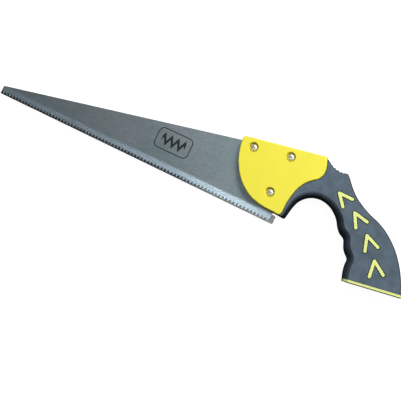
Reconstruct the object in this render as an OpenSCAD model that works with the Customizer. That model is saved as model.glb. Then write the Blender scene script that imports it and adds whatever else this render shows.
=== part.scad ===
// Hand saw, lying flat on its side. +X runs along the row of teeth from the blade's tip to the
// handle, -Y is the side that the teeth point to, +Z is the side with the screw heads.
// The origin lies on the resting face of the handle, under the middle of the three screws.

/* [Blade] */
// Length of the toothed edge, from the tip to the heel
edge_length = 350; // [250:5:450]
// Number of teeth along the toothed edge
tooth_count = 82; // [40:1:120]
// Depth of the gullets between the teeth
tooth_depth = 3.5; // [2:0.1:4.5]
// Height of the blade at its tip
tip_height = 9; // [7:0.5:20]
// Angle of the back edge to the toothed edge where the blade enters the handle, degrees
back_angle = 11.5; // [8:0.1:13]
// Thickness of the blade
blade_thickness = 1.2; // [0.8:0.1:1.5]

/* [Handle] */
// Thickness of the handle over its two flat faces
handle_thickness = 22; // [20:0.5:30]
// Radius along the edges of the cheek
cheek_edge_radius = 1.2; // [0.5:0.1:2]
// Depth of the rubber's faces below the flat faces of the plastic
rubber_recess = 0.4; // [0.2:0.1:1]
// Thickness of the plastic core inside the rubber grip
core_thickness = 12; // [8:0.5:14]
// Thickness of the plastic butt plate under the rubber
butt_plate = 2.3; // [1.5:0.1:4]
// Width of the blade slot beyond the blade's thickness
slot_clearance = 0.1; // [0.05:0.05:0.4]
// Width of the bars of the arrow marks on the grip
arrow_width = 3.3; // [2:0.1:4]
// Length of the bars of the first arrow, next to the cheek
arrow_length = 14.9; // [10:0.1:16]
// How much longer each arrow is than the one before it
arrow_growth = 0.55; // [0:0.05:1]
// Angle between the two bars of an arrow, degrees
arrow_spread = 49; // [40:1:60]
// How much each arrow is turned against the one before it, degrees
arrow_turn = 10.8; // [8:0.1:12]
// Gap between an arrow and the edge of its window in the rubber
arrow_gap = 0.2; // [0.1:0.05:0.5]

/* [Fasteners] */
// Thread diameter of the screws
screw_diameter = 4; // [3:1:4]
// Length of the screws under the head
screw_length = 16; // [15:1:17]
// Diameter of the pan heads
head_diameter = 8; // [7:0.5:9]
// Height of the pan heads
head_height = 2.9; // [2:0.1:3.1]
// Diameter of the recesses round the screw heads
recess_diameter = 11; // [10:0.5:12]
// Depth of the head and nut seats below the faces of the handle
seat_depth = 4.5; // [4:0.1:5]
// Width of the nuts across their flats
nut_width = 7; // [6.5:0.1:8]
// Height of the nuts
nut_height = 3.2; // [2.5:0.1:3.5]

/* [Blade guard] */
// Wall thickness of the clear guard
guard_wall = 0.5; // [0.4:0.1:0.8]
// Free width between the guard's two walls
guard_gap = 1.9; // [1.8:0.1:2.4]
// Height of the guard's side walls over all
guard_height = 9.2; // [8:0.1:9.4]
// Clearance between the tips of the teeth and the guard's web
tooth_clearance = 0.4; // [0.3:0.05:0.6]
// How far the guard stands out past the tip of the blade
guard_past_tip = 0.9; // [0.5:0.1:3]
// How far the guard stands out past the heel of the blade
guard_past_heel = 4.5; // [2:0.5:6]

/* [Hidden] */
$fn = 48;
curve_steps = 2;
edge_steps = 3;
mid_z = handle_thickness / 2;
tooth_pitch = edge_length / tooth_count;
gullet_flat = tooth_pitch * 0.08;
seat_z = handle_thickness - seat_depth;
bore_radius = screw_diameter / 2 + 0.15;
nut_radius = nut_width / sqrt(3);
nut_clearance = 0.1;
through = 1;

// The drawing plane starts at the heel's tooth corner. The origin of the part lies at this point of it.
origin_x = -22;
origin_y = 53;

// Screw places on the drawing plane
screw_front_at = [-47.9, 63.3];
screw_rear_at = [-7.4, 70.1];
screw_lower_at = [-10.7, 27.5];
screw_places = [screw_front_at, screw_rear_at, screw_lower_at];

// The back edge runs straight to this distance before the heel, then follows the handle's top edge.
back_bend = 50;
heel_height = 78;

// Cheek outline, clockwise: the belly from the lower corner round to the front, the front corner,
// and the rear edge from the top corner down to the hook. The top edge is straight between them.
belly = [[8, 10.1], [1.5, 10.5], [-9, 10.9], [-17, 12], [-25, 14.1], [-33, 18], [-41, 23.8], [-48, 31],
         [-53.5, 39], [-58, 48], [-61.2, 58], [-62.8, 67]];
front_corner = [[-62.8, 67], [-62.6, 69.6], [-59.8, 71.5]];
cheek_rear = [[27, 86.2], [29.3, 81.6], [31.3, 76], [32.1, 71.5], [31.8, 67.4], [30.5, 63.6], [27.6, 60],
              [23.2, 56.6], [19.1, 52.3], [16, 47.5], [13.5, 42], [11.9, 36.3], [10.7, 30], [10.1, 24],
              [10.1, 17.5], [10, 12.5], [8, 10.1]];

// Grip outline, clockwise, with the edge radius at each point as the third number: the thumb rest,
// the palm side down to the butt, the finger side up through the arch to the tip of the hook, and
// the part that lies inside the cheek. It runs on past the butt, where it is cut off square.
thumb_rest = [[27, 85.8, 0.8], [30.4, 82.8, 1.2], [33.5, 81, 1.6], [37.6, 79.1, 2], [42.7, 77.8, 2],
              [47.8, 77.4, 2], [51.8, 78.3, 1.4], [53.9, 79, 0.8]];
palm_side = [[53.9, 79, 0.8], [58, 75.4, 2], [64, 68.7, 2.5], [73, 60.8, 2.5], [83, 54.9, 2.5],
             [93, 50.4, 2.5], [103, 47, 2.5], [113, 42, 2.5], [122.5, 35.2, 2.5], [132.5, 25.8, 2.5],
             [142, 13.4, 2.5], [148, 3.3, 2.5], [152.6, -6.4, 2.5], [156.6, -15.6, 2.5], [161.5, -28, 0.5]];
finger_side = [[98.6, -33.6, 0.5], [94.8, -22.7, 7], [91.9, -14.3, 7.5], [90.8, -10.1, 8], [90.1, -5, 8],
               [89.9, -0.6, 8], [88.1, 1.8, 8], [84.7, 5, 8], [82.1, 8.2, 8], [80.1, 12.2, 8],
               [78.3, 16.1, 8], [76, 18.2, 8], [72, 20.2, 8], [69, 23, 8], [66.4, 26.1, 8],
               [64.2, 29.7, 8], [61.2, 33.4, 7.6], [57.6, 36.6, 7.2], [52.4, 40.2, 6.6],
               [46.9, 42.6, 6], [39.6, 44, 5.4], [32.4, 43.2, 5], [26, 40.5, 4.6], [20.8, 36, 4.2],
               [17.6, 31.3, 3.8], [15.6, 25.8, 3.4], [14.3, 19.6, 3], [13.2, 13.4, 2],
               [12, 10.5, 1.2], [9.5, 9.8, 0.8]];
inside_cheek = [[9.5, 9.8, 0.8], [4, 16, 0.8], [4, 40, 0.8], [18, 66, 0.8], [24, 84, 0.8]];

// Core outline inside the grip, from the cheek down the palm side to the butt and back up
core_outline = [[14, 72], [34, 75], [48, 73.5], [58, 69], [70, 59], [84, 51], [102, 44], [116, 37],
                [128, 26.5], [138.5, 13], [147, -3], [149.5, -10.3], [102, -18.4], [100, -8], [98, 4],
                [91, 14], [86, 21], [78, 29], [70, 38], [60, 46], [48, 52], [36, 53], [14, 50]];

// Tips of the arrows, which point up the grip to the cheek
arrow_tips = [[54.7, 57.1], [77.7, 45.3], [98.6, 29.7], [116.2, 9.8]];

// Line between the rubber and the plastic butt plate: its start on the finger side and its angle
butt_start = [93.8, -19.8];
butt_angle = 9.7;
butt_length = 61;

// Catmull-Rom curve through the points of an open run, without its last point
function between(a, b, c, d, t) =
    (2 * b + (c - a) * t + (2 * a - 5 * b + 4 * c - d) * t * t + (3 * b - a - 3 * c + d) * t * t * t) / 2;
function curve(p) = let (last = len(p) - 1)
    [for (i = [0 : last - 1], s = [0 : curve_steps - 1])
        between(p[max(i - 1, 0)], p[i], p[i + 1], p[min(i + 2, last)], s / curve_steps)];

function flat_point(p) = [p[0], p[1]];

// Direction into the material at point i of a closed clockwise outline
function inward(p, i) =
    let (n = len(p), ahead = flat_point(p[(i + 1) % n]), behind = flat_point(p[(i + n - 1) % n]),
         along = (ahead - behind) / norm(ahead - behind))
    [along[1], -along[0]];

// One level of a slab with rounded edges: a is 0 at the flat face and 90 at the full outline
function level(p, z_face, side, a) =
    [for (i = [0 : len(p) - 1])
        let (r = p[i][2], at = flat_point(p[i]) + inward(p, i) * r * (1 - sin(a)))
        [at[0], at[1], z_face + side * r * (1 - cos(a))]];

cheek_plan = concat(curve(belly), curve(front_corner), [[-59.8, 71.5]], curve(cheek_rear));
cheek_edge = [for (p = cheek_plan) [p[0], p[1], cheek_edge_radius]];
cheek_side = concat([[-30, 95], [24, 95]], curve(cheek_rear), [[8, 10.1], [4, 4], [-30, 4]]);
grip_edge = concat(curve(thumb_rest), curve(palm_side), [palm_side[len(palm_side) - 1]], curve(finger_side),
                   inside_cheek);

module in_place() {
    translate([-origin_x, -origin_y, 0])
        children();
}

// Slab over a clockwise outline whose edges are rounded by each point's own radius
module rounded_slab(outline, z_low, z_high) {
    n = len(outline);
    lower = [for (k = [0 : edge_steps]) level(outline, z_low, 1, 90 * k / edge_steps)];
    upper = [for (k = [edge_steps : -1 : 0]) level(outline, z_high, -1, 90 * k / edge_steps)];
    rings = concat(lower, upper);
    top = (len(rings) - 1) * n;
    polyhedron(
        points = [for (ring = rings) each ring],
        faces = concat(
            [[for (i = [n - 1 : -1 : 0]) i]],
            [for (k = [0 : len(rings) - 2], i = [0 : n - 1])
                let (j = (i + 1) % n)
                each [[k * n + i, k * n + j, (k + 1) * n + j], [k * n + i, (k + 1) * n + j, (k + 1) * n + i]]],
            [[for (i = [0 : n - 1]) top + i]]));
}

module blade_plan() {
    bend_x = -back_bend;
    bend_y = tip_height + (edge_length - back_bend) * tan(back_angle);
    teeth = [for (i = [0 : tooth_count - 1]) let (x = -i * tooth_pitch)
        each [[x - gullet_flat, tooth_depth], [x - tooth_pitch / 2, 0], [x - tooth_pitch + gullet_flat, tooth_depth]]];
    polygon(concat([[-edge_length, tip_height], [bend_x, bend_y], [0, heel_height], [0, tooth_depth]],
                   teeth, [[-edge_length, tooth_depth]]));
}

module blade() {
    color("slategray")
        in_place()
            difference() {
                translate([0, 0, mid_z - blade_thickness / 2])
                    linear_extrude(height = blade_thickness)
                        blade_plan();
                for (at = screw_places)
                    translate([at[0], at[1], 0])
                        cylinder(r = bore_radius + 0.1, h = handle_thickness);
            }
}

// Slot for the blade's rear end, open at the front and below
module blade_slot() {
    slack = 0.4;
    front = -edge_length / 4;
    front_y = tip_height + (edge_length + front) * tan(back_angle) + slack;
    bend_y = tip_height + (edge_length - back_bend) * tan(back_angle) + slack;
    translate([0, 0, mid_z - (blade_thickness + slot_clearance) / 2])
        linear_extrude(height = blade_thickness + slot_clearance)
            polygon([[front, 0], [front, front_y], [-back_bend, bend_y], [slack, heel_height + slack], [slack, 0]]);
}

module arrow_bar(bar_length, width) {
    translate([0, -width / 2])
        square([bar_length, width]);
    circle(d = width);
    translate([bar_length, 0])
        circle(d = width);
}

module arrows(width) {
    for (i = [0 : len(arrow_tips) - 1])
        translate(arrow_tips[i])
            rotate(-1 - i * arrow_turn) {
                arrow_bar(arrow_length + i * arrow_growth, width);
                rotate(-arrow_spread)
                    arrow_bar(arrow_length + i * arrow_growth, width);
            }
}

// Everything on the butt's side of the line between rubber and butt plate
module beyond_butt_line() {
    reach = 40;
    translate(butt_start)
        rotate(butt_angle)
            translate([-reach / 2, -reach, -through])
                cube([butt_length + reach, reach, handle_thickness + 2 * through]);
}

// Flat shape from 0 to w by 0 to h, with the given corner radii at its two ends
module two_radius_plate(w, h, start_radius, end_radius) {
    translate([start_radius, 0])
        square([w - start_radius - end_radius, h]);
    translate([0, start_radius])
        square([start_radius + 0.1, h - 2 * start_radius]);
    translate([w - end_radius - 0.1, end_radius])
        square([end_radius + 0.1, h - 2 * end_radius]);
    for (y = [start_radius, h - start_radius])
        translate([start_radius, y])
            circle(r = start_radius);
    for (y = [end_radius, h - end_radius])
        translate([w - end_radius, y])
            circle(r = end_radius);
}

module butt_cap() {
    translate([butt_start[0], butt_start[1], rubber_recess])
        rotate(butt_angle)
            rotate([90, 0, 0])
                linear_extrude(height = butt_plate)
                    two_radius_plate(butt_length, handle_thickness - 2 * rubber_recess, 7, 2.5);
}

module grip_slab() {
    rounded_slab(grip_edge, rubber_recess, handle_thickness - rubber_recess);
}

module core_web() {
    translate([0, 0, mid_z - core_thickness / 2])
        linear_extrude(height = core_thickness)
            polygon(core_outline);
}

module handle_core() {
    color("gold")
        in_place()
            difference() {
                union() {
                    rounded_slab(cheek_edge, 0, handle_thickness);
                    core_web();
                    linear_extrude(height = handle_thickness)
                        arrows(arrow_width);
                    butt_cap();
                }
                blade_slot();
                for (at = screw_places)
                    translate([at[0], at[1], 0]) {
                        translate([0, 0, -through])
                            cylinder(r = bore_radius, h = handle_thickness + 2 * through);
                        translate([0, 0, seat_z])
                            cylinder(d = recess_diameter, h = seat_depth + through);
                        translate([0, 0, -through])
                            cylinder(r = nut_radius + nut_clearance, h = seat_depth + through, $fn = 6);
                    }
            }
}

module grip_rubber() {
    color("darkslategray")
        in_place()
            difference() {
                grip_slab();
                translate([0, 0, -through])
                    linear_extrude(height = handle_thickness + 2 * through)
                        polygon(cheek_side);
                core_web();
                beyond_butt_line();
                translate([0, 0, -through])
                    linear_extrude(height = handle_thickness + 2 * through)
                        arrows(arrow_width + 2 * arrow_gap);
            }
}

// Pan-head screw with a cross recess, its head's bearing face at the given place's seat
module pan_screw(at) {
    dome = head_height * 0.35;
    rim = head_diameter / 2;
    cross_width = 1.1;
    cross_reach = 4.4;
    cross_depth = 1.7;
    color("silver")
        in_place()
            translate([at[0], at[1], seat_z])
                difference() {
                    union() {
                        rotate_extrude()
                            polygon([[0, 0], [rim, 0], [rim, head_height - dome], [rim * 0.94, head_height - dome * 0.6],
                                     [rim * 0.8, head_height - dome * 0.22], [rim * 0.55, head_height], [0, head_height]]);
                        translate([0, 0, -screw_length])
                            cylinder(d = screw_diameter, h = screw_length + 0.1);
                    }
                    for (turn = [0, 90])
                        rotate(turn + 20)
                            translate([-cross_reach / 2, -cross_width / 2, head_height - cross_depth])
                                cube([cross_reach, cross_width, cross_depth + through]);
                }
}

module hex_nut(at) {
    color("lightgray")
        in_place()
            translate([at[0], at[1], seat_depth - nut_height])
                difference() {
                    cylinder(r = nut_radius, h = nut_height, $fn = 6);
                    translate([0, 0, -through])
                        cylinder(d = screw_diameter + 0.04, h = nut_height + 2 * through);
                }
}

module screw_front() {
    pan_screw(screw_front_at);
}

module screw_rear() {
    pan_screw(screw_rear_at);
}

module screw_lower() {
    pan_screw(screw_lower_at);
}

module nut_front() {
    hex_nut(screw_front_at);
}

module nut_rear() {
    hex_nut(screw_rear_at);
}

module nut_lower() {
    hex_nut(screw_lower_at);
}

// Clear channel over the teeth: its side view has rounded corners at the handle's end
module blade_guard() {
    low = -tooth_clearance - guard_wall;
    high = low + guard_height;
    half = guard_gap / 2 + guard_wall;
    left = -edge_length - guard_past_tip;
    right = guard_past_heel;
    corner = 1.6;
    color("lightblue", 0.5)
        in_place()
            difference() {
                translate([0, 0, mid_z - half])
                    linear_extrude(height = 2 * half)
                        union() {
                            translate([left, low])
                                square([right - left - corner, high - low]);
                            translate([right - 2 * corner, low + corner])
                                square([2 * corner, high - low - 2 * corner]);
                            for (y = [low + corner, high - corner])
                                translate([right - corner, y])
                                    circle(r = corner);
                        }
                translate([left - through, low + guard_wall, mid_z - guard_gap / 2])
                    cube([right - left + 2 * through, guard_height, guard_gap]);
            }
}

blade();
handle_core();
grip_rubber();
screw_front();
screw_rear();
screw_lower();
nut_front();
nut_rear();
nut_lower();
blade_guard();
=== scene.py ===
"""Hand saw: the finished look of each piece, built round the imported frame.

Every object is in metres, in the frame's own axes: +X runs from the blade's tip to the handle, -Y is the
side that the teeth point to, and +Z is the side with the screw heads. Outlines are given in millimetres
on a drawing plane that starts at the heel's tooth corner; place() turns them into points of the frame.
"""

import math

import bmesh
import bpy
from bpy.props import FloatProperty, FloatVectorProperty, IntProperty, PointerProperty
from mathutils import Matrix, Vector


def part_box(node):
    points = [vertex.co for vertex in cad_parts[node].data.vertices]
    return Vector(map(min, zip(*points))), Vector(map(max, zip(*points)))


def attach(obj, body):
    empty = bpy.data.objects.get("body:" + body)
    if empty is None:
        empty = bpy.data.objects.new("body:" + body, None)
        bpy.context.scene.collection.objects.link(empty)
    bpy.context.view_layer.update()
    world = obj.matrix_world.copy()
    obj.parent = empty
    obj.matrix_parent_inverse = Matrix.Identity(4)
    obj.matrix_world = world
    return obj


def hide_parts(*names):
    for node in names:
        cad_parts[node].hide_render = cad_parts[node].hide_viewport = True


bl_info = {
    "name": "Hand saw",
    "version": (1, 0, 0),
    "blender": (4, 5, 0),
    "location": "View3D > Sidebar > Hand saw",
    "description": "Builds a hand saw with a plastic and rubber pistol grip and a clear tooth guard",
    "category": "Object",
}

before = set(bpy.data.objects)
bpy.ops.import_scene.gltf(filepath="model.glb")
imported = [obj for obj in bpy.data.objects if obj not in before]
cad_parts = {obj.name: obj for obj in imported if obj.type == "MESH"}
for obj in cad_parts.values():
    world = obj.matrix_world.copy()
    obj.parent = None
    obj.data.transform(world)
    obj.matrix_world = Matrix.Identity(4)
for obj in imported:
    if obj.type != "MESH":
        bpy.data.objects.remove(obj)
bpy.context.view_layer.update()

MM = 0.001
ORIGIN_ON_PLANE = (-22.0, 53.0)
HANDLE_LOW, HANDLE_HIGH = (corner.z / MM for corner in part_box("handle_core"))
BLADE_LOW, BLADE_HIGH = (corner.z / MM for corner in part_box("blade"))
GUARD_LOW, GUARD_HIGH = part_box("blade_guard")
MID_Z = (HANDLE_LOW + HANDLE_HIGH) / 2
RUBBER_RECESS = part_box("grip_rubber")[0].z / MM - HANDLE_LOW

SCREW_PLACES = {"front": (-47.9, 63.3), "rear": (-7.4, 70.1), "lower": (-10.7, 27.5)}

# Cheek outline, clockwise: belly from the lower corner to the front, front corner, then the rear edge
# from the top corner down to the hook. The top edge is straight.
BELLY = [(8, 10.1), (1.5, 10.5), (-9, 10.9), (-17, 12), (-25, 14.1), (-33, 18), (-41, 23.8), (-48, 31),
         (-53.5, 39), (-58, 48), (-61.2, 58), (-62.8, 67)]
FRONT_CORNER = [(-62.8, 67), (-62.6, 69.6), (-59.8, 71.5)]
CHEEK_REAR = [(27, 86.2), (29.3, 81.6), (31.3, 76), (32.1, 71.5), (31.8, 67.4), (30.5, 63.6), (27.6, 60),
              (23.2, 56.6), (19.1, 52.3), (16, 47.5), (13.5, 42), (11.9, 36.3), (10.7, 30), (10.1, 24),
              (10.1, 17.5), (10, 12.5), (8, 10.1)]

# Grip outline, clockwise, with the width of the rounding at each point as the third number
THUMB_REST = [(27, 85.8, 0.8), (30.4, 82.8, 1.2), (33.5, 81, 1.6), (37.6, 79.1, 2), (42.7, 77.8, 2),
              (47.8, 77.4, 2), (51.8, 78.3, 1.4), (53.9, 79, 0.8)]
PALM_SIDE = [(53.9, 79, 0.8), (58, 75.4, 2), (64, 68.7, 2.5), (73, 60.8, 2.5), (83, 54.9, 2.5),
             (93, 50.4, 2.5), (103, 47, 2.5), (113, 42, 2.5), (122.5, 35.2, 2.5), (132.5, 25.8, 2.5),
             (142, 13.4, 2.5), (148, 3.3, 2.5), (152.6, -6.4, 2.5), (156.6, -15.6, 2.5), (161.5, -28, 0.5)]
FINGER_SIDE = [(98.6, -33.6, 0.5), (94.8, -22.7, 7), (91.9, -14.3, 7.5), (90.8, -10.1, 8), (90.1, -5, 8),
               (89.9, -0.6, 8), (88.1, 1.8, 8), (84.7, 5, 8), (82.1, 8.2, 8), (80.1, 12.2, 8),
               (78.3, 16.1, 8), (76, 18.2, 8), (72, 20.2, 8), (69, 23, 8), (66.4, 26.1, 8),
               (64.2, 29.7, 8), (61.2, 33.4, 7.6), (57.6, 36.6, 7.2), (52.4, 40.2, 6.6),
               (46.9, 42.6, 6), (39.6, 44, 5.4), (32.4, 43.2, 5), (26, 40.5, 4.6), (20.8, 36, 4.2),
               (17.6, 31.3, 3.8), (15.6, 25.8, 3.4), (14.3, 19.6, 3), (13.2, 13.4, 2),
               (12, 10.5, 1.2), (9.5, 9.8, 0.8)]
INSIDE_CHEEK = [(9.5, 9.8, 0.8), (4, 16, 0.8), (4, 40, 0.8), (18, 66, 0.8), (24, 84, 0.8)]
ARROW_TIPS = [(54.7, 57.1), (77.7, 45.3), (98.6, 29.7), (116.2, 9.8)]

# Line between the rubber and the plastic butt plate: its start on the finger side and its angle
BUTT_START = (93.8, -19.8)
BUTT_ANGLE = 9.7

# Attribute of the rubber's faces: 1 where a face lies flat, 0 where it stands upright
FLATNESS = "flatness"


def linear(hex_colour):
    """A colour given as sRGB hex digits, as the linear red, green, blue and alpha that a shader needs."""
    parts = [int(hex_colour[i:i + 2], 16) / 255 for i in (0, 2, 4)]
    return tuple(p / 12.92 if p <= 0.04045 else ((p + 0.055) / 1.055) ** 2.4 for p in parts) + (1.0,)


# Settings

def length(name, description, millimetres):
    """A length property with its default in millimetres."""
    return FloatProperty(name=name, description=description, default=millimetres * MM, min=0.0,
                         precision=5, unit="LENGTH")


def colour(name, description, hex_colour):
    """A colour property with its default as sRGB hex digits."""
    return FloatVectorProperty(name=name, description=description, default=linear(hex_colour), size=4,
                               min=0.0, max=1.0, subtype="COLOR")


class HandSawSizes(bpy.types.PropertyGroup):
    """Sizes of the details that the frame leaves to this model"""

    tooth_count: IntProperty(name="Teeth", description="Number of teeth", default=82, min=10, max=200)
    tooth_depth: length("Tooth depth", "Depth of the gullets", 3.5)
    tooth_bevel: length("Tooth bevel", "Width of the ground bevel on each tooth's flank", 0.9)
    tip_height: length("Tip height", "Height of the blade at its tip", 9)
    cheek_radius: length("Cheek edge radius", "Rounding of the cheek's edges", 1.2)
    seam: length("Seam", "Width of the groove between rubber and plastic", 0.75)
    rib_count: IntProperty(name="Ribs", description="Ribs across the thumb rest", default=7, min=0, max=12)
    rib_radius: length("Rib radius", "Radius of the ribs across the thumb rest", 0.8)
    arrow_width: length("Arrow width", "Width of the bars of the arrow marks", 3.3)
    arrow_length: length("Arrow length", "Length of the bars of the first arrow", 14.9)
    butt_plate: length("Butt plate", "Thickness of the plastic butt plate", 2.3)
    recess_diameter: length("Screw recess", "Diameter of the recesses round the screw heads", 11)
    seat_depth: length("Seat depth", "Depth of the head and nut seats", 4.5)
    head_diameter: length("Screw head", "Diameter of the pan heads", 8)
    head_height: length("Head height", "Height of the pan heads", 2.9)
    nut_width: length("Nut width", "Width of the nuts across their flats", 7)
    guard_wall: length("Guard wall", "Wall thickness of the clear guard", 0.5)


class HandSawColours(bpy.types.PropertyGroup):
    """Colours of the finishes"""

    steel: colour("Steel", "Rolled steel of the blade", "AEB8C0")
    ink: colour("Ink", "Ink of the mark on the blade", "15171B")
    yellow: colour("Yellow", "Moulded plastic of the cheek", "F5EA42")
    lemon: colour("Lemon", "Moulded plastic of the arrows and the butt plate", "E8F092")
    rubber: colour("Rubber", "Rubber of the grip", "566674")
    zinc: colour("Zinc", "Plating of the screws and nuts", "E4E0CE")
    clear: colour("Clear plastic", "Tint of the guard", "F2F8FA")


# Geometry helpers

def place(x, y, z):
    """A point of the drawing plane at height z, in millimetres, as a point of the frame, in metres."""
    return Vector((x - ORIGIN_ON_PLANE[0], y - ORIGIN_ON_PLANE[1], z)) * MM


def curve(points, steps=4):
    """Smooth curve through the points of an open run, without its last point."""
    last = len(points) - 1
    result = []
    for i in range(last):
        a, b, c, d = (Vector(points[k]) for k in (max(i - 1, 0), i, i + 1, min(i + 2, last)))
        for step in range(steps):
            t = step / steps
            result.append((2 * b + (c - a) * t + (2 * a - 5 * b + 4 * c - d) * t ** 2
                           + (3 * b - a - 3 * c + d) * t ** 3) / 2)
    return result


def arc(centre, radius, start, turn, steps):
    """Points of an arc in degrees, both ends included."""
    angles = [math.radians(start + turn * i / steps) for i in range(steps + 1)]
    return [(centre[0] + radius * math.cos(a), centre[1] + radius * math.sin(a)) for a in angles]


def directions(outline, i):
    """Unit directions of the two sides that meet at point i of a closed outline."""
    before, here, after = (Vector(outline[k][:2]) for k in (i - 1, i, (i + 1) % len(outline)))
    return (here - before).normalized(), (after - here).normalized()


def inward(outline, i):
    """Step into the material at point i of a closed clockwise outline that moves both sides by 1."""
    arriving, leaving = directions(outline, i)
    along = (arriving + leaving).normalized()
    return Vector((along.y, -along.x)) / max(0.5, along.dot(leaving))


def clear_corners(outline):
    """The outline without the points that lie too close to a sharp corner for its rounding."""
    sharp, reach = 0.6, 1.3
    corners = []
    for i, point in enumerate(outline):
        arriving, leaving = directions(outline, i)
        if arriving.angle(leaving) > sharp:
            corners.append(point)
    return [p for p in outline if all(p is c or (p.xy - c.xy).length > reach * c[2] for c in corners)]


def grown(outline, amount):
    """The outline moved outwards by an amount in millimetres."""
    return [Vector(p[:2]) - inward(outline, i) * amount for i, p in enumerate(outline)]


def prism(outline, low, high):
    """Closed prism over an outline, from height low to height high."""
    bm = bmesh.new()
    face = bm.faces.new([bm.verts.new(place(p[0], p[1], low)) for p in outline])
    lifted = bmesh.ops.extrude_face_region(bm, geom=[face], use_keep_orig=True)
    top = [v for v in lifted["geom"] if isinstance(v, bmesh.types.BMVert)]
    bmesh.ops.translate(bm, verts=top, vec=(0, 0, (high - low) * MM))
    bmesh.ops.recalc_face_normals(bm, faces=bm.faces)
    return bm


def rounded_slab(outline, low, high, steps=6):
    """Slab over a clockwise outline of x, y and rounding. Up to 3 mm the rounding is a quarter circle.
    A wider one is the finger side: it leaves the flat face at a crease, which is steepest at 8 mm, and
    runs down to the middle."""
    quarter_circle, finger_side, crease_angle, deeper, upright_band = 3, 8, 50, 0.35, 0.1
    half = (high - low) / 2 - upright_band / 2
    bm = bmesh.new()

    def ring(step, face_z, side):
        points = []
        for i, (x, y, radius) in enumerate(outline):
            finger = max(0.0, radius - quarter_circle) / (finger_side - quarter_circle)
            crease = math.radians(crease_angle * finger)
            angle = crease + (math.pi / 2 - crease) * step / steps
            drop = min(half, radius * (1 + deeper * finger))
            depth = drop * (1 - math.cos(angle) / math.cos(crease))
            inset = radius * (1 - math.sin(angle)) / (1 - math.sin(crease))
            at = Vector((x, y)) + inward(outline, i) * inset
            points.append(place(at.x, at.y, face_z + side * depth))
        return points

    levels = [ring(step, low, 1) for step in range(steps + 1)]
    levels += [ring(step, high, -1) for step in range(steps, -1, -1)]
    verts = [bm.verts.new(p) for p in levels[0]]
    edges = [bm.edges.new((verts[i - 1], verts[i])) for i in range(len(verts))]
    bmesh.ops.contextual_create(bm, geom=edges)
    for points in levels[1:]:
        grown_ring = bmesh.ops.extrude_edge_only(bm, edges=edges)["geom"]
        fresh = {v for v in grown_ring if isinstance(v, bmesh.types.BMVert)}
        edges = [e for e in grown_ring if isinstance(e, bmesh.types.BMEdge)
                 and e.verts[0] in fresh and e.verts[1] in fresh]
        verts = [next(e.other_vert(v) for e in v.link_edges if e.other_vert(v) in fresh) for v in verts]
        for vert, point in zip(verts, points):
            vert.co = point
    bmesh.ops.contextual_create(bm, geom=edges)
    bmesh.ops.recalc_face_normals(bm, faces=bm.faces)
    return bm


def turned(profile, centre, steps=48):
    """Closed solid turned from a profile of radius and height, in millimetres, round a vertical axis."""
    bm = bmesh.new()
    middle = place(centre[0], centre[1], 0)
    verts = [bm.verts.new(middle + Vector((r, 0, z)) * MM) for r, z in profile]
    edges = [bm.edges.new(pair) for pair in zip(verts, verts[1:])]
    bmesh.ops.spin(bm, geom=verts + edges, cent=middle, axis=(0, 0, 1), angle=2 * math.pi, steps=steps,
                   use_merge=True)
    bmesh.ops.remove_doubles(bm, verts=bm.verts, dist=1e-6)
    bmesh.ops.recalc_face_normals(bm, faces=bm.faces)
    return bm


def box(low, high, matrix=Matrix.Identity(4)):
    """Closed box between two corners in metres, then moved by the matrix."""
    bm = bmesh.new()
    low, high = Vector(low), Vector(high)
    bmesh.ops.create_cube(bm, size=1.0)
    bmesh.ops.scale(bm, vec=high - low, verts=bm.verts)
    bmesh.ops.translate(bm, vec=(low + high) / 2, verts=bm.verts)
    bmesh.ops.transform(bm, matrix=matrix, verts=bm.verts)
    return bm


def bevel(bm, edges, width, segments=3):
    """Rounds the edges by a width in millimetres."""
    bmesh.ops.bevel(bm, geom=edges, offset=width * MM, offset_type="OFFSET", segments=segments, profile=0.5,
                    affect="EDGES", clamp_overlap=True, material=-1)


def rim(bm, height):
    """Edges of the outline that lie at a height in millimetres, between a flat face and a side."""
    return [e for e in bm.edges if all(abs(v.co.z - height * MM) < 1e-6 for v in e.verts)
            and len(e.link_faces) == 2
            and sum(abs(f.normal.z) > 0.99 for f in e.link_faces) == 1]


def as_object(bm, name):
    """Mesh object from a bmesh, which is freed."""
    mesh = bpy.data.meshes.new(name)
    bm.to_mesh(mesh)
    bm.free()
    piece = bpy.data.objects.new(name, mesh)
    bpy.context.scene.collection.objects.link(piece)
    return piece


def combined(bm, others, operation="DIFFERENCE"):
    """The bmesh after a boolean with each of the others, all of which are used up."""
    work = as_object(bm, "work")
    tools = [as_object(other, "tool") for other in others]
    for tool in tools:
        step = work.modifiers.new(tool.name, "BOOLEAN")
        step.operation = operation
        step.solver = "EXACT"
        step.object = tool
    depsgraph = bpy.context.evaluated_depsgraph_get()
    result = bmesh.new()
    result.from_mesh(work.evaluated_get(depsgraph).to_mesh())
    for used in [work] + tools:
        mesh = used.data
        bpy.data.objects.remove(used)
        bpy.data.meshes.remove(mesh)
    return result


def finish_piece(bm, name, nodes, material, body="saw", sharp=30):
    """Smooth-shaded piece that stands for its CAD nodes and rides on their body."""
    bmesh.ops.remove_doubles(bm, verts=bm.verts, dist=2e-6)
    bmesh.ops.dissolve_degenerate(bm, edges=bm.edges, dist=1e-6)
    piece = as_object(bm, name)
    piece.data.shade_smooth()
    piece.data.set_sharp_from_angle(angle=math.radians(sharp))
    piece.data.materials.append(material)
    weighted = piece.modifiers.new("Weighted normals", "WEIGHTED_NORMAL")
    weighted.keep_sharp = True
    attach(piece, body)
    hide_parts(*nodes)
    return piece


# Materials

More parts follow.
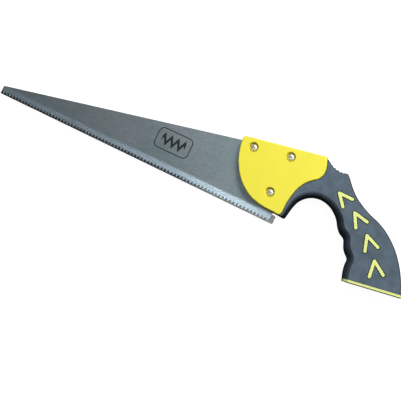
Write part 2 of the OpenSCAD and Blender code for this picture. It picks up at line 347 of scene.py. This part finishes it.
def add_node(tree, kind, inputs=(), output=0, **settings):
    """Adds a node, makes its settings, links or fills its inputs, and returns one of its outputs."""
    node = tree.nodes.new("ShaderNode" + kind)
    for name, value in settings.items():
        setattr(node, name, value)
    for key, value in inputs.items() if isinstance(inputs, dict) else enumerate(inputs):
        if isinstance(value, bpy.types.NodeSocket):
            tree.links.new(value, node.inputs[key])
        else:
            node.inputs[key].default_value = value
    return node.outputs[output] if node.outputs else None


def new_material(name):
    """Material with an empty node tree, and the tree."""
    material = bpy.data.materials.new(name)
    material.use_nodes = True
    material.node_tree.nodes.clear()
    return material, material.node_tree


def grain(tree, size_mm, stretch=(1, 1, 1), detail=2.0):
    """Noise whose features are about size_mm across, wider along an axis with a stretch over 1."""
    where = add_node(tree, "TexCoord", output="Object")
    scale = tuple(1 / (size_mm * MM * s) for s in stretch)
    mapped = add_node(tree, "Mapping", {"Vector": where, "Scale": scale})
    return add_node(tree, "TexNoise", {"Vector": mapped, "Scale": 1.0, "Detail": detail})


def shade(rgba, *factors):
    """A colour made lighter or darker, by one factor or by one each for red, green and blue."""
    each = factors if len(factors) == 3 else factors * 3
    return tuple(min(1.0, c * factor) for c, factor in zip(rgba, each)) + (1.0,)


def printed_mark(tree):
    """Mask of the printed mark: a rounded frame with a row of saw teeth across it, 1 where there is ink."""
    centre = place(-133.3, 32.4, MID_Z)
    half_width, half_height, corner, line = (v * MM for v in (20.8, 11.4, 5.5, 1.1))
    tooth_length, tooth_rise, tooth_line, tooth_reach = (v * MM for v in (8.4, 9.0, 2.6, 14.7))
    slope = 2 * tooth_rise / tooth_length
    inner = (half_width - corner, half_height - corner, 0)
    where = add_node(tree, "TexCoord", output="Object")
    to_centre = (-centre.x, -centre.y, 0)
    flat = add_node(tree, "VectorMath", (where, (1, 1, 0), to_centre), operation="MULTIPLY_ADD")
    apart = add_node(tree, "VectorMath", (flat,), operation="ABSOLUTE")
    past = add_node(tree, "VectorMath", (apart, inner), operation="SUBTRACT")
    outside = add_node(tree, "VectorMath", (past, (0, 0, 0)), operation="MAXIMUM")
    reach = add_node(tree, "VectorMath", (outside,), "Value", operation="LENGTH")
    frame_line = add_node(tree, "Math", (reach, corner, line / 2), operation="COMPARE")
    wave = add_node(tree, "Math", (add_node(tree, "SeparateXYZ", (flat,), "X"), tooth_length / 2),
                    operation="PINGPONG")
    row = add_node(tree, "Math", (wave, slope, -tooth_rise / 2), operation="MULTIPLY_ADD")
    on_row = add_node(tree, "Math", (add_node(tree, "SeparateXYZ", (flat,), "Y"), row,
                                     tooth_line / 2 * math.hypot(1, slope)), operation="COMPARE")
    within = add_node(tree, "Math", (add_node(tree, "SeparateXYZ", (apart,), "X"), tooth_reach),
                      operation="LESS_THAN")
    teeth = add_node(tree, "Math", (on_row, within), operation="MULTIPLY")
    ink = add_node(tree, "Math", (frame_line, teeth), operation="MAXIMUM")
    near_top = add_node(tree, "Math", (add_node(tree, "SeparateXYZ", (where,), "Z"), MID_Z * MM),
                        operation="GREATER_THAN")
    return add_node(tree, "Math", (ink, near_top), operation="MULTIPLY")


def rolled_steel(colours):
    """Cold-rolled spring steel, ground along its length: a satin metal with fine lengthwise lines, and
    soft, slightly green and blue clouds from the oil on it. The zone of the teeth is ground smoother, and
    its lighter, bluer colour is partly ground steel and partly a painted reflection of the light in the
    clear guard.
    The printed mark is matt black ink."""
    material, tree = new_material("rolled_spring_steel")
    steel, ink = tuple(colours.steel), tuple(colours.ink)
    oiled = shade(steel, 0.80, 0.93, 0.90)
    # Ground steel and a painted reflection: the zone of the teeth is made lighter and bluer than the rest
    # of the blade.
    ground_and_painted_sheen = shade(steel, 1.20, 1.23, 1.26)
    zone_edge = place(0, 9.0, 0).y
    mark = printed_mark(tree)
    clouds = add_node(tree, "MapRange", (grain(tree, 26, (1.6, 1, 1), 5.0), 0.35, 0.65, 0.0, 1.0))
    bare = add_node(tree, "Mix", {0: clouds, 6: oiled, 7: steel}, 2, data_type="RGBA")
    specks = add_node(tree, "MapRange", (grain(tree, 1.6, (2.5, 1, 1), 4.0), 0.3, 0.7, 0.86, 1.07))
    flecked = add_node(tree, "VectorMath", {0: bare, "Scale": specks}, operation="SCALE")
    across = add_node(tree, "SeparateXYZ", (add_node(tree, "TexCoord", output="Object"),), "Y")
    tooth_zone = add_node(tree, "MapRange", (across, zone_edge, zone_edge + MM, 1.0, 0.0))
    zoned = add_node(tree, "Mix", {0: tooth_zone, 6: flecked, 7: ground_and_painted_sheen}, 2, data_type="RGBA")
    coloured = add_node(tree, "Mix", {0: mark, 6: zoned, 7: ink}, 2, data_type="RGBA")
    # The grinding lines are about 0.1 mm apart; they are drawn 0.5 mm apart so that they show.
    lines = grain(tree, 0.5, (60, 1, 1), 2.0)
    satin = add_node(tree, "MapRange", (lines, 0.3, 0.7, 0.38, 0.50))
    polish = add_node(tree, "MapRange", (tooth_zone, 0.0, 1.0, 1.0, 0.78))
    ground = add_node(tree, "Math", (satin, polish), operation="MULTIPLY")
    matt = add_node(tree, "Math", (mark, 0.55), operation="MULTIPLY")
    surface = add_node(tree, "BsdfPrincipled", {
        "Base Color": coloured,
        "Metallic": add_node(tree, "Math", (1.0, mark), operation="SUBTRACT"),
        "Roughness": add_node(tree, "Math", (ground, matt), operation="MAXIMUM"),
        "Normal": add_node(tree, "Bump", {"Height": lines, "Distance": 0.012 * MM, "Strength": 0.5}),
    })
    add_node(tree, "OutputMaterial", (surface,))
    return material


def moulded_plastic(name, rgba):
    """Injection-moulded polypropylene: a dense colour with a soft sheen, a fine spark-eroded grain and
    barely visible flow patches. Pieces of one colour share it."""
    if name in bpy.data.materials:
        return bpy.data.materials[name]
    material, tree = new_material(name)
    flow = add_node(tree, "MapRange", (grain(tree, 22), 0.3, 0.7, 0.0, 1.0))
    # The grain is about 0.2 mm across; it is drawn at 0.6 mm so that it shows.
    texture = grain(tree, 0.6, detail=3.0)
    surface = add_node(tree, "BsdfPrincipled", {
        "Base Color": add_node(tree, "Mix", {0: flow, 6: shade(rgba, 0.965), 7: rgba}, 2, data_type="RGBA"),
        "Roughness": add_node(tree, "MapRange", (texture, 0.3, 0.7, 0.36, 0.50)),
        "IOR": 1.49,
        "Normal": add_node(tree, "Bump", {"Height": texture, "Distance": 0.02 * MM, "Strength": 0.5}),
    })
    add_node(tree, "OutputMaterial", (surface,))
    return material


def moulded_rubber(colours):
    """Thermoplastic rubber: a matt dark blue-grey with a fine leathery grain and faint dusty patches. Its
    rounded and upright sides are darkened with painted shade, which leaves its flat faces lighter."""
    rgba = tuple(colours.rubber)
    material, tree = new_material("moulded_rubber")
    patches = add_node(tree, "MapRange", (grain(tree, 11, detail=5.0), 0.35, 0.65, 0.80, 1.10))
    specks = add_node(tree, "MapRange", (grain(tree, 0.7, detail=2.0), 0.3, 0.7, 0.93, 1.05))
    level = add_node(tree, "Attribute", output="Fac", attribute_name=FLATNESS)
    # Painted shade: faces that stand upright or round over are darkened to about a third, and flat faces
    # keep their colour.
    painted_side_shade = add_node(tree, "MapRange", (level, 0.78, 0.96, 0.34, 1.0))
    dusty = add_node(tree, "Math", (patches, specks), operation="MULTIPLY")
    amount = add_node(tree, "Math", (dusty, painted_side_shade), operation="MULTIPLY")
    texture = grain(tree, 0.8, detail=4.0)
    surface = add_node(tree, "BsdfPrincipled", {
        "Base Color": add_node(tree, "VectorMath", {0: rgba[:3], "Scale": amount}, operation="SCALE"),
        "Roughness": add_node(tree, "MapRange", (texture, 0.3, 0.7, 0.62, 0.80)),
        "IOR": 1.5,
        "Specular IOR Level": 0.3,
        "Normal": add_node(tree, "Bump", {"Height": texture, "Distance": 0.05 * MM, "Strength": 0.7}),
    })
    add_node(tree, "OutputMaterial", (surface,))
    return material


def plated_zinc(colours):
    """Bright zinc plate on cold-headed steel: a soft metal shine with fine uneven spots."""
    rgba = tuple(colours.zinc)
    material, tree = new_material("plated_zinc")
    spots = grain(tree, 1.2, detail=4.0)
    surface = add_node(tree, "BsdfPrincipled", {
        "Base Color": add_node(tree, "Mix", {0: spots, 6: shade(rgba, 0.88), 7: rgba}, 2, data_type="RGBA"),
        "Metallic": 1.0,
        "Roughness": add_node(tree, "MapRange", (spots, 0.3, 0.7, 0.48, 0.60)),
        "Normal": add_node(tree, "Bump", {"Height": spots, "Distance": 0.01 * MM, "Strength": 0.4}),
    })
    add_node(tree, "OutputMaterial", (surface,))
    return material


def extruded_pvc(colours):
    """Clear extruded PVC: glassy, with faint lengthwise die lines that blur what is behind it."""
    material, tree = new_material("clear_extruded_pvc")
    lines = grain(tree, 0.6, (80, 1, 1), 2.0)
    surface = add_node(tree, "BsdfPrincipled", {
        "Base Color": tuple(colours.clear),
        "Transmission Weight": 1.0,
        "IOR": 1.53,
        "Roughness": add_node(tree, "MapRange", (lines, 0.3, 0.7, 0.04, 0.13)),
        "Normal": add_node(tree, "Bump", {"Height": lines, "Distance": 0.01 * MM, "Strength": 0.4}),
    })
    add_node(tree, "OutputMaterial", (surface,))
    return material


# Pieces

def build_blade(sizes, colours):
    """Toothed blade: each tooth's flank towards the tip is ground from above, the other from below."""
    depth, count = sizes.tooth_depth / MM, sizes.tooth_count
    edge = (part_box("blade")[1].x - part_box("blade")[0].x) / MM
    pitch, root = edge / count, edge / count * 0.04
    back = [(-edge, sizes.tip_height / MM), (-50, 70.04), (0, 78), (0, depth)]
    teeth = []
    for i in range(count):
        start = -i * pitch
        teeth += [(start - root, depth), (start - pitch / 2, 0), (start - pitch + root, depth)]
    bm = prism(back + teeth + [(-edge, depth)], BLADE_LOW, BLADE_HIGH)
    tooth_line = place(0, depth, 0).y
    flanks, backs = [], []
    for e in bm.edges:
        first, second = sorted(e.verts, key=lambda v: v.co.x)
        if abs(first.co.z - second.co.z) > 1e-7:
            continue
        upper = first.co.z > MID_Z * MM
        if min(first.co.y, second.co.y) < tooth_line - 1e-4:
            falling = second.co.y < first.co.y
            if upper == falling:
                flanks.append(e)
        elif max(first.co.y, second.co.y) > tooth_line + 1e-3 and first.co.x < second.co.x - 1e-4:
            backs.append(e)
    bevel(bm, flanks, sizes.tooth_bevel / MM, 1)
    bevel(bm, [e for e in backs if e.is_valid], 0.25, 2)
    finish_piece(bm, "saw_blade", ["blade"], rolled_steel(colours), sharp=12)


def cheek_outline():
    """The cheek's closed outline, clockwise."""
    return curve(BELLY) + curve(FRONT_CORNER) + [Vector(FRONT_CORNER[-1])] + curve(CHEEK_REAR)


def grip_outline():
    """The rubber grip's closed outline with its roundings, clockwise. It runs on past the butt."""
    return clear_corners(curve(THUMB_REST) + curve(PALM_SIDE) + [Vector(PALM_SIDE[-1])] + curve(FINGER_SIDE)
                         + [Vector(p) for p in INSIDE_CHEEK])


def blade_slot():
    """The slot that the blade's rear end sits in, open at the front and below."""
    gap = 0.06
    outline = [(-90, 0), (-90, 62.9), (-50, 70.6), (0.4, 78.4), (0.4, 0)]
    return prism(outline, BLADE_LOW - gap, BLADE_HIGH + gap)


def build_cheek(sizes, colours):
    """Moulded cheek with the blade's slot, the screws' sunk seats and the nuts' pockets."""
    radius = sizes.cheek_radius / MM
    outline = clear_corners([Vector((p[0], p[1], radius)) for p in cheek_outline()])
    seat = HANDLE_HIGH - sizes.seat_depth / MM
    recess, bore = sizes.recess_diameter / 2 / MM, 2.15
    chamfer, taper, lip = 0.4, 1.1, 0.2
    pocket_radius = sizes.nut_width / math.sqrt(3) / MM + 0.1
    tools = [blade_slot()]
    for at in SCREW_PLACES.values():
        tools.append(turned([(0, -1), (bore, -1), (bore, seat), (recess - taper, seat),
                             (recess - lip, HANDLE_HIGH - chamfer), (recess + lip, HANDLE_HIGH),
                             (recess + lip, HANDLE_HIGH + 1), (0, HANDLE_HIGH + 1)], at))
        pocket = bmesh.new()
        depth = sizes.seat_depth / MM + 1
        bmesh.ops.create_cone(pocket, cap_ends=True, segments=6, radius1=pocket_radius * MM,
                              radius2=pocket_radius * MM, depth=depth * MM,
                              matrix=Matrix.Translation(place(at[0], at[1], depth / 2 - 1)))
        tools.append(pocket)
    bm = combined(rounded_slab(outline, HANDLE_LOW, HANDLE_HIGH, 4), tools)
    finish_piece(bm, "handle_cheek", ["handle_core"],
                 moulded_plastic("moulded_polypropylene", tuple(colours.yellow)))


def butt_plane():
    """Start and normal of the plane between the rubber and the butt plate; the normal points outwards."""
    angle = math.radians(BUTT_ANGLE)
    return place(BUTT_START[0], BUTT_START[1], 0), Vector((math.sin(angle), -math.cos(angle), 0))


def cut_off(bm, start, normal):
    """Cuts away what lies beyond a plane and closes the cut."""
    cut = bmesh.ops.bisect_plane(bm, geom=bm.verts[:] + bm.edges[:] + bm.faces[:], plane_co=start,
                                 plane_no=normal, clear_outer=True, dist=1e-7)
    edges = [e for e in cut["geom_cut"] if isinstance(e, bmesh.types.BMEdge)]
    bmesh.ops.contextual_create(bm, geom=edges)
    return edges


def build_butt_plate(sizes, colours):
    """Plastic plate that closes the lower end of the grip."""
    start, outwards = butt_plane()
    bm = rounded_slab(grip_outline(), HANDLE_LOW + RUBBER_RECESS, HANDLE_HIGH - RUBBER_RECESS)
    cut_off(bm, start + outwards * sizes.butt_plate, outwards)
    cut_off(bm, start, -outwards)
    bmesh.ops.recalc_face_normals(bm, faces=bm.faces)
    below = [e for e in bm.edges if len(e.link_faces) == 2
             and any(f.normal.dot(outwards) > 0.99 for f in e.link_faces)
             and not all(f.normal.dot(outwards) > 0.99 for f in e.link_faces)]
    bevel(bm, below, 0.3, 2)
    finish_piece(bm, "butt_plate", ["handle_core"],
                 moulded_plastic("moulded_polypropylene_light", tuple(colours.lemon)))


def arrow_outline(number, bar_length, width):
    """Outline of an arrow of two bars with round ends that meet at its tip."""
    tip = Vector(ARROW_TIPS[number])
    spread, turn_each, longer_each = 49, 10.8, 0.55
    turn = -1 - turn_each * number
    reach = bar_length + longer_each * number
    half = width / 2
    angles = (math.radians(turn), math.radians(turn - spread))
    upper, lower = (Vector((math.cos(angle), math.sin(angle))) for angle in angles)
    inner = tip + (upper + lower).normalized() * half / math.sin(math.radians(spread / 2))
    return (arc(tip + upper * reach, half, turn + 90, -180, 8) + [inner]
            + arc(tip + lower * reach, half, turn - spread + 90, -180, 8)
            + arc(tip, half, turn - spread - 90, spread - 180, 8))


def arrow_solids(sizes, width, depth, proud):
    """Prisms over each arrow's outline, at both faces of the grip."""
    low, high = HANDLE_LOW + RUBBER_RECESS, HANDLE_HIGH - RUBBER_RECESS
    solids = []
    for number in range(len(ARROW_TIPS)):
        outline = arrow_outline(number, sizes.arrow_length / MM, width)
        solids += [prism(outline, high - depth, high + proud), prism(outline, low - proud, low + depth)]
    return solids


def build_arrows(sizes, colours):
    """Arrow marks: ribs of the core that stand out of windows in the rubber."""
    joined = bmesh.new()
    for solid in arrow_solids(sizes, sizes.arrow_width / MM, 2.8, RUBBER_RECESS):
        bevel(solid, rim(solid, HANDLE_HIGH) + rim(solid, HANDLE_LOW), 0.4, 3)
        mesh = bpy.data.meshes.new("arrow")
        solid.to_mesh(mesh)
        solid.free()
        joined.from_mesh(mesh)
        bpy.data.meshes.remove(mesh)
    finish_piece(joined, "grip_arrows", ["handle_core"],
                 moulded_plastic("moulded_polypropylene_light", tuple(colours.lemon)))


def thumb_ribs(sizes):
    """Round bars across the thumb rest, evenly spaced along its edge."""
    first, last, margin = 29.5, 51, 2.4
    run = [p for p in curve([q[:2] for q in THUMB_REST], 16) if first < p[0] < last]
    bars = []
    reach = (HANDLE_HIGH - HANDLE_LOW) / 2 - margin
    for i in range(sizes.rib_count):
        at = run[round(i * (len(run) - 1) / max(1, sizes.rib_count - 1))]
        bar = bmesh.new()
        bmesh.ops.create_cone(bar, cap_ends=True, segments=12, radius1=sizes.rib_radius,
                              radius2=sizes.rib_radius, depth=2 * reach * MM,
                              matrix=Matrix.Translation(place(at[0], at[1], MID_Z)))
        bars.append(bar)
    return bars


def build_rubber_grip(sizes, colours):
    """Rubber grip with windows for the arrows, a seam round the cheek and ribs on the thumb rest."""
    start, outwards = butt_plane()
    bm = rounded_slab(grip_outline(), HANDLE_LOW + RUBBER_RECESS, HANDLE_HIGH - RUBBER_RECESS)
    cut_off(bm, start, outwards)
    bmesh.ops.recalc_face_normals(bm, faces=bm.faces)
    bm = combined(bm, thumb_ribs(sizes), "UNION")
    seam, seam_depth = sizes.seam / MM, 3.2
    above = [Vector((-30, 95)), Vector((24, 95))]
    below = [Vector((8, 10.1)), Vector((4, 4)), Vector((-30, 4))]
    wide = grown(above + curve(CHEEK_REAR) + below, seam)
    tools = [prism(wide, HANDLE_HIGH - seam_depth, HANDLE_HIGH + 1),
             prism(wide, HANDLE_LOW - 1, HANDLE_LOW + seam_depth)]
    tools += arrow_solids(sizes, sizes.arrow_width / MM + 2 * seam, 3.0, 1.0)
    bm = combined(bm, tools)
    bm.normal_update()
    # Each face's flatness sets the painted shade on the rubber's upright sides.
    flatness = bm.faces.layers.float.new(FLATNESS)
    for face in bm.faces:
        face[flatness] = abs(face.normal.z)
    finish_piece(bm, "rubber_grip", ["grip_rubber"], moulded_rubber(colours), sharp=20)


def build_screw(name, at, sizes, material):
    """Pan-head screw with a cross recess in its seat."""
    seat = HANDLE_HIGH - sizes.seat_depth / MM
    radius, height = sizes.head_diameter / 2 / MM, sizes.head_height / MM
    dome = [(radius, seat), (radius, seat + height * 0.5)]
    dome += [(radius * math.cos(math.radians(a)), seat + height * (0.5 + 0.5 * math.sin(math.radians(a))))
             for a in (18, 36, 52, 66, 78)]
    shank_end, shank_radius, tip_chamfer = seat - 16, 2.0, 0.4
    profile = [(0, shank_end), (shank_radius - tip_chamfer, shank_end),
               (shank_radius, shank_end + tip_chamfer), (shank_radius, seat)] + dome
    body = turned(profile + [(0, seat + height)], at)
    top = Matrix.Translation(place(at[0], at[1], seat + height))
    arm, half_width, depth = 2.1 * MM, 0.6 * MM, 1.8 * MM
    slots = []
    for turn in (20, 110):
        spot = top @ Matrix.Rotation(math.radians(turn), 4, "Z")
        slots.append(box((-arm, -half_width, -depth), (arm, half_width, MM), spot))
    bm = combined(body, slots)
    finish_piece(bm, name, [name], material)


def build_nut(name, at, sizes, material):
    """Hex nut with chamfered corners and a bored middle."""
    height, bore, countersink = 3.2, 2.02, 2.5
    high = sizes.seat_depth / MM
    low = high - height
    corner = sizes.nut_width / math.sqrt(3) / MM
    bm = bmesh.new()
    bmesh.ops.create_cone(bm, cap_ends=True, segments=6, radius1=corner * MM, radius2=corner * MM,
                          depth=(high - low) * MM,
                          matrix=Matrix.Translation(place(at[0], at[1], (low + high) / 2)))
    lens = turned([(0, low), (corner * 0.87, low), (corner, low + 0.5), (corner, high - 0.5),
                   (corner * 0.87, high), (0, high)], at)
    bm = combined(bm, [lens], "INTERSECT")
    hole = turned([(0, low - 1), (countersink, low - 1), (countersink, low), (bore, low + 0.4),
                   (bore, high - 0.4), (countersink, high), (countersink, high + 1), (0, high + 1)], at, 32)
    bm = combined(bm, [hole])
    finish_piece(bm, name, [name], material)


def build_guard(sizes, colours):
    """Clear channel over the teeth, with rounded corners at the handle's end and round lips."""
    bm = box(GUARD_LOW, GUARD_HIGH)
    ends = [e for e in bm.edges if all(abs(v.co.x - GUARD_HIGH.x) < 1e-6 for v in e.verts)
            and abs(e.verts[0].co.z - e.verts[1].co.z) > 1e-6]
    end_radius, lip_radius, fold_radius = 1.6, 0.2, 0.35
    bevel(bm, ends, end_radius, 6)
    wall = sizes.guard_wall
    channel = box((GUARD_LOW.x - 0.001, GUARD_LOW.y + wall, GUARD_LOW.z + wall),
                  (GUARD_HIGH.x + 0.001, GUARD_HIGH.y + 0.001, GUARD_HIGH.z - wall))
    bm = combined(bm, [channel])
    lips = [e for e in bm.edges if all(v.co.y > GUARD_HIGH.y - 1e-5 for v in e.verts)
            and abs(e.verts[0].co.x - e.verts[1].co.x) > 0.1]
    folds = [e for e in bm.edges if all(v.co.y < GUARD_LOW.y + 1e-5 for v in e.verts)
             and abs(e.verts[0].co.x - e.verts[1].co.x) > 0.1]
    bevel(bm, lips, lip_radius, 3)
    bevel(bm, [e for e in folds if e.is_valid], fold_radius, 3)
    guard = finish_piece(bm, "clear_guard", ["blade_guard"], extruded_pvc(colours),
                         body="guard")
    # Clear plastic lets the lights through to the teeth.
    guard.visible_shadow = False


# Stage

def add_area_light(name, direction, distance, size, power, tint):
    """Square soft light that looks at the saw from a direction, in metres and watts."""
    lamp = bpy.data.lights.new(name, "AREA")
    lamp.size = size
    lamp.energy = power
    lamp.color = tint
    light = bpy.data.objects.new(name, lamp)
    bpy.context.scene.collection.objects.link(light)
    aim = Vector(direction).normalized()
    turn = aim.to_track_quat("Z", "Y").to_matrix().to_4x4()
    light.matrix_world = Matrix.Translation(aim * distance) @ turn
    return light


def build_camera():
    """Camera 0.88 m above the saw, leaning towards the handle and a little towards the teeth, and rolled
    so that the saw points down to the right."""
    distance = 0.88
    lean, side_lean, roll = (math.radians(angle) for angle in (15.755, -2.346, 26.683))
    aim = Vector((-51.5, -66.6, MID_Z)) * MM
    backwards = Vector((math.sin(lean) * math.cos(side_lean), math.sin(side_lean),
                        math.cos(lean) * math.cos(side_lean)))
    level = Vector((math.cos(lean), 0, -math.sin(lean)))
    across = backwards.cross(level)
    right = math.cos(roll) * level + math.sin(roll) * across
    up = -math.sin(roll) * level + math.cos(roll) * across
    turn = Matrix((right, up, backwards)).transposed()
    data = bpy.data.cameras.new("camera")
    data.lens = 72.54
    data.sensor_width = 36
    data.clip_start = 0.01
    camera = bpy.data.objects.new("camera", data)
    bpy.context.scene.collection.objects.link(camera)
    camera.matrix_world = Matrix.Translation(aim + backwards * distance) @ turn.to_4x4()
    bpy.context.scene.camera = camera


def build_world():
    """Plain studio round the saw, dark on the one side and light on the key light's side."""
    world = bpy.data.worlds.new("studio")
    bpy.context.scene.world = world
    world.use_nodes = True
    tree = world.node_tree
    tree.nodes.clear()
    where = add_node(tree, "TexCoord", output="Generated")
    side = add_node(tree, "VectorMath", (where, (0.45, 0.45, 0.77)), "Value", operation="DOT_PRODUCT")
    grey = add_node(tree, "MapRange", (side, 0.0, 1.0, 0.01, 0.32))
    room = add_node(tree, "Background", {"Color": (0.97, 0.99, 1.0, 1), "Strength": grey})
    white = add_node(tree, "Background", {"Color": (1, 1, 1, 1)})
    seen = add_node(tree, "LightPath", output="Is Camera Ray")
    add_node(tree, "OutputWorld", (add_node(tree, "MixShader", (seen, room, white)),))


def build_floor():
    """White paper sweep. It glows for rays that come straight from the camera, so it stays white, and is
    dark paper for every other ray, a painted shadow: it throws little light back, and the gullets stay
    dark behind the clear guard as if the saw's shadow lay there."""
    bm = bmesh.new()
    bmesh.ops.create_grid(bm, x_segments=1, y_segments=1, size=4.0,
                          matrix=Matrix.Translation((0, 0, (HANDLE_LOW - 0.2) * MM)))
    floor = as_object(bm, "floor")
    material, tree = new_material("white_paper")
    paper = add_node(tree, "BsdfDiffuse", ((0.3, 0.3, 0.3, 1),))
    glow = add_node(tree, "Emission", {"Color": (1, 1, 1, 1), "Strength": 0.95})
    lit = add_node(tree, "AddShader", (paper, glow))
    # Painted shadow: the paper is dark wherever it is seen other than straight from the camera.
    shadow_paper = add_node(tree, "BsdfDiffuse", ((0.05, 0.05, 0.05, 1),))
    seen = add_node(tree, "LightPath", output="Is Camera Ray")
    add_node(tree, "OutputMaterial", (add_node(tree, "MixShader", (seen, shadow_paper, lit)),))
    floor.data.materials.append(material)


def build_stage():
    """Camera, studio, floor and lights."""
    build_camera()
    build_world()
    build_floor()
    add_area_light("key_light", (0.33, 0.80, 1.0), 1.3, 0.6, 19.0, (1.0, 0.99, 0.97))
    add_area_light("ceiling_light", (-0.19, 0.03, 0.98), 1.2, 0.4, 0.26, (0.96, 1.0, 0.99))
    window = add_area_light("window_light", (-0.212, 0.022, 0.977), 1.212, 0.28, 0.42, (0.97, 0.99, 1.0))
    # It lights the teeth through the guard, and its own mirror image is kept off the guard and the blade.
    window.visible_glossy = False
    bpy.context.scene.view_settings.view_transform = "Standard"


# Operators

class HANDSAW_OT_stage(bpy.types.Operator):
    """Set up the camera, the studio light and the floor"""

    bl_idname = "handsaw.stage"
    bl_label = "Stage"

    def execute(self, context):
        build_stage()
        return {"FINISHED"}


class HANDSAW_OT_blade(bpy.types.Operator):
    """Build the toothed blade"""

    bl_idname = "handsaw.blade"
    bl_label = "Blade"

    def execute(self, context):
        build_blade(context.scene.handsaw_sizes, context.scene.handsaw_colours)
        return {"FINISHED"}


class HANDSAW_OT_cheek(bpy.types.Operator):
    """Build the plastic cheek that holds the blade"""

    bl_idname = "handsaw.cheek"
    bl_label = "Cheek"

    def execute(self, context):
        build_cheek(context.scene.handsaw_sizes, context.scene.handsaw_colours)
        return {"FINISHED"}


class HANDSAW_OT_butt_plate(bpy.types.Operator):
    """Build the plate at the lower end of the grip"""

    bl_idname = "handsaw.butt_plate"
    bl_label = "Butt plate"

    def execute(self, context):
        build_butt_plate(context.scene.handsaw_sizes, context.scene.handsaw_colours)
        return {"FINISHED"}


class HANDSAW_OT_arrows(bpy.types.Operator):
    """Build the arrow marks of the grip"""

    bl_idname = "handsaw.arrows"
    bl_label = "Arrows"

    def execute(self, context):
        build_arrows(context.scene.handsaw_sizes, context.scene.handsaw_colours)
        return {"FINISHED"}


class HANDSAW_OT_rubber_grip(bpy.types.Operator):
    """Build the rubber grip"""

    bl_idname = "handsaw.rubber_grip"
    bl_label = "Rubber grip"

    def execute(self, context):
        build_rubber_grip(context.scene.handsaw_sizes, context.scene.handsaw_colours)
        return {"FINISHED"}


class HANDSAW_OT_fasteners(bpy.types.Operator):
    """Build the three screws and their nuts"""

    bl_idname = "handsaw.fasteners"
    bl_label = "Screws and nuts"

    def execute(self, context):
        sizes = context.scene.handsaw_sizes
        zinc = plated_zinc(context.scene.handsaw_colours)
        for name, at in SCREW_PLACES.items():
            build_screw(f"screw_{name}", at, sizes, zinc)
            build_nut(f"nut_{name}", at, sizes, zinc)
        return {"FINISHED"}


class HANDSAW_OT_guard(bpy.types.Operator):
    """Build the clear guard over the teeth"""

    bl_idname = "handsaw.guard"
    bl_label = "Tooth guard"

    def execute(self, context):
        build_guard(context.scene.handsaw_sizes, context.scene.handsaw_colours)
        return {"FINISHED"}


OPERATORS = (HANDSAW_OT_stage, HANDSAW_OT_blade, HANDSAW_OT_cheek, HANDSAW_OT_butt_plate, HANDSAW_OT_arrows,
             HANDSAW_OT_rubber_grip, HANDSAW_OT_fasteners, HANDSAW_OT_guard)


class HANDSAW_PT_panel(bpy.types.Panel):
    """Sizes, colours and the buttons that build the saw"""

    bl_label = "Hand saw"
    bl_idname = "HANDSAW_PT_panel"
    bl_space_type = "VIEW_3D"
    bl_region_type = "UI"
    bl_category = "Hand saw"

    def draw(self, context):
        for group in (context.scene.handsaw_sizes, context.scene.handsaw_colours):
            column = self.layout.column()
            for name in group.__annotations__:
                column.prop(group, name)
        for operator in OPERATORS:
            self.layout.operator(operator.bl_idname)


CLASSES = (HandSawSizes, HandSawColours) + OPERATORS + (HANDSAW_PT_panel,)


def register():
    for cls in CLASSES:
        bpy.utils.register_class(cls)
    bpy.types.Scene.handsaw_sizes = PointerProperty(type=HandSawSizes)
    bpy.types.Scene.handsaw_colours = PointerProperty(type=HandSawColours)


def unregister():
    del bpy.types.Scene.handsaw_colours
    del bpy.types.Scene.handsaw_sizes
    for cls in reversed(CLASSES):
        bpy.utils.unregister_class(cls)


def main():
    register()
    bpy.ops.handsaw.stage()
    bpy.ops.handsaw.blade()
    bpy.ops.handsaw.cheek()
    bpy.ops.handsaw.butt_plate()
    bpy.ops.handsaw.arrows()
    bpy.ops.handsaw.rubber_grip()
    bpy.ops.handsaw.fasteners()
    bpy.ops.handsaw.guard()


if __name__ == "__main__":
    main()
